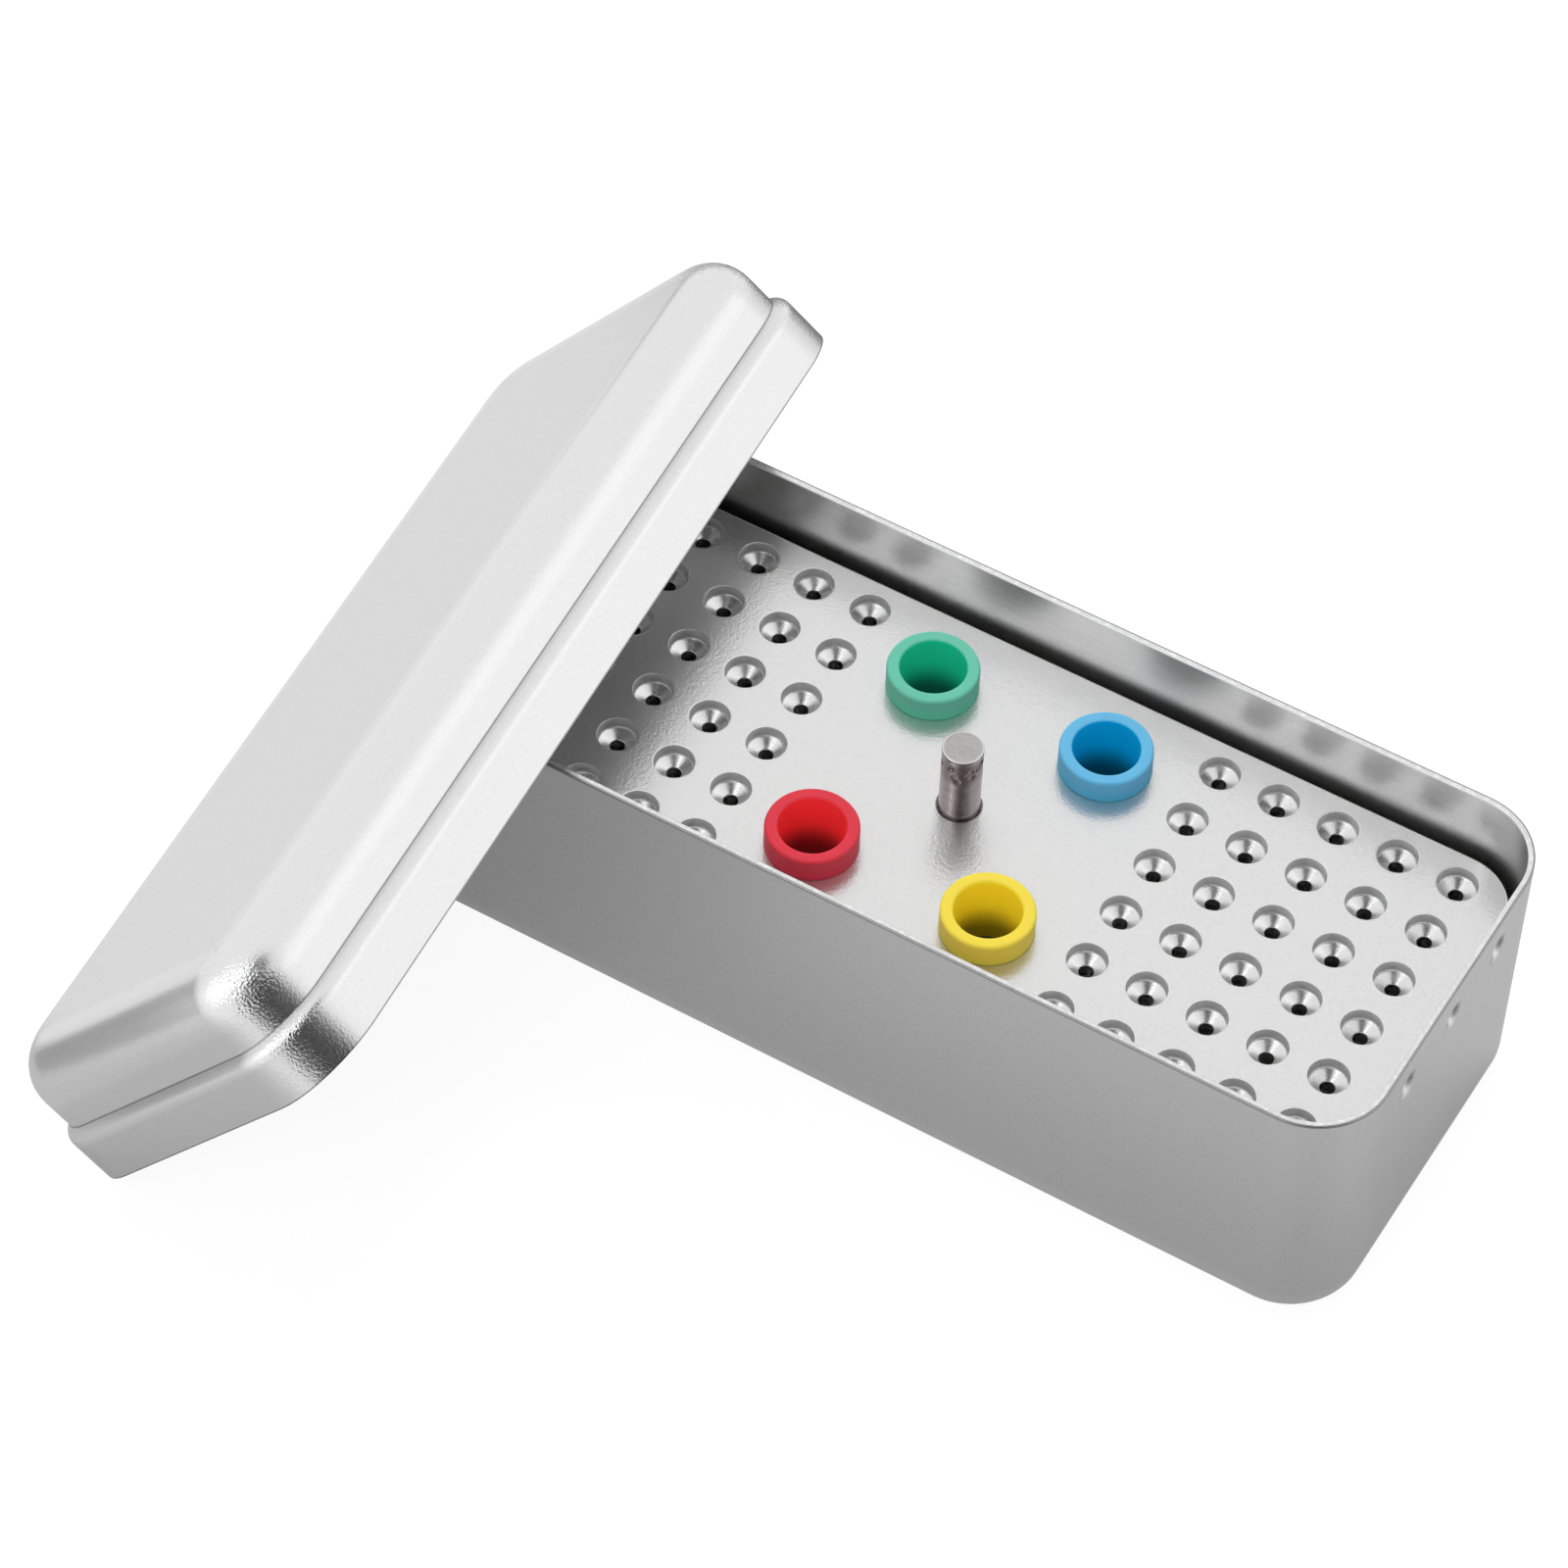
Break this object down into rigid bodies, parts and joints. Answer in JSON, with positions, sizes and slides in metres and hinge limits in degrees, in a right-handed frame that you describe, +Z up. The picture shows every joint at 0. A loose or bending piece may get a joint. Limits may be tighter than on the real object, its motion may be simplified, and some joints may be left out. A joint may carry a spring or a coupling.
{
  "type": "endodontic file box",
  "caption": "Drawn aluminium box with a removable drilled tray for endodontic files, coloured silicone sleeves, a lifting pin and a loose lid that leans on its end.",
  "frame": {"origin": "middle of the case's flat underside, on the table", "axes": "+X along the case, away from the end that the lid leans on; +Z up; -Y towards the viewer of the picture"},
  "size_m": [0.1486, 0.1287, 0.0492],
  "materials": {
    "case_sheet": "satin anodised",
    "lid_sheet": "satin anodised",
    "tray_aluminium": "fine satin anodised",
    "leg_aluminium": "turned",
    "pin_steel": "scuffed",
    "fastener_steel": "plain",
    "silicone_red": "matt translucent silicone",
    "silicone_yellow": "matt translucent silicone",
    "silicone_blue": "matt translucent silicone",
    "silicone_green": "matt translucent silicone"
  },
  "bodies": {
    "case": {"case": "case_sheet"},
    "lid": {"lid": "lid_sheet"},
    "tray": {"tray_plate": "tray_aluminium", "lifting_pin": "pin_steel", "pin_washer": "fastener_steel", "pin_nut": "fastener_steel", "leg_front_left": "leg_aluminium", "leg_front_right": "leg_aluminium", "leg_back_left": "leg_aluminium", "leg_back_right": "leg_aluminium"},
    "red_sleeve": {"sleeve_red": "silicone_red"},
    "yellow_sleeve": {"sleeve_yellow": "silicone_yellow"},
    "blue_sleeve": {"sleeve_blue": "silicone_blue"},
    "green_sleeve": {"sleeve_green": "silicone_green"}
  },
  "joints": [
    {"name": "lid_lift", "type": "slide", "parent": "case", "child": "lid", "axis": [0, 0, 1], "range_m": [0, 0.1]},
    {"name": "tray_lift", "type": "slide", "parent": "case", "child": "tray", "axis": [0, 0, 1], "range_m": [0, 0.04]},
    {"name": "sleeve_red_pull", "type": "slide", "parent": "tray", "child": "red_sleeve", "axis": [0, 0, 1], "range_m": [0, 0.012]},
    {"name": "sleeve_yellow_pull", "type": "slide", "parent": "tray", "child": "yellow_sleeve", "axis": [0, 0, 1], "range_m": [0, 0.012]},
    {"name": "sleeve_blue_pull", "type": "slide", "parent": "tray", "child": "blue_sleeve", "axis": [0, 0, 1], "range_m": [0, 0.012]},
    {"name": "sleeve_green_pull", "type": "slide", "parent": "tray", "child": "green_sleeve", "axis": [0, 0, 1], "range_m": [0, 0.012]}
  ],
  "couplings": [
    {"joint": "tray_lift", "follows": "lid_lift", "ratio": 0.4}
  ]
}
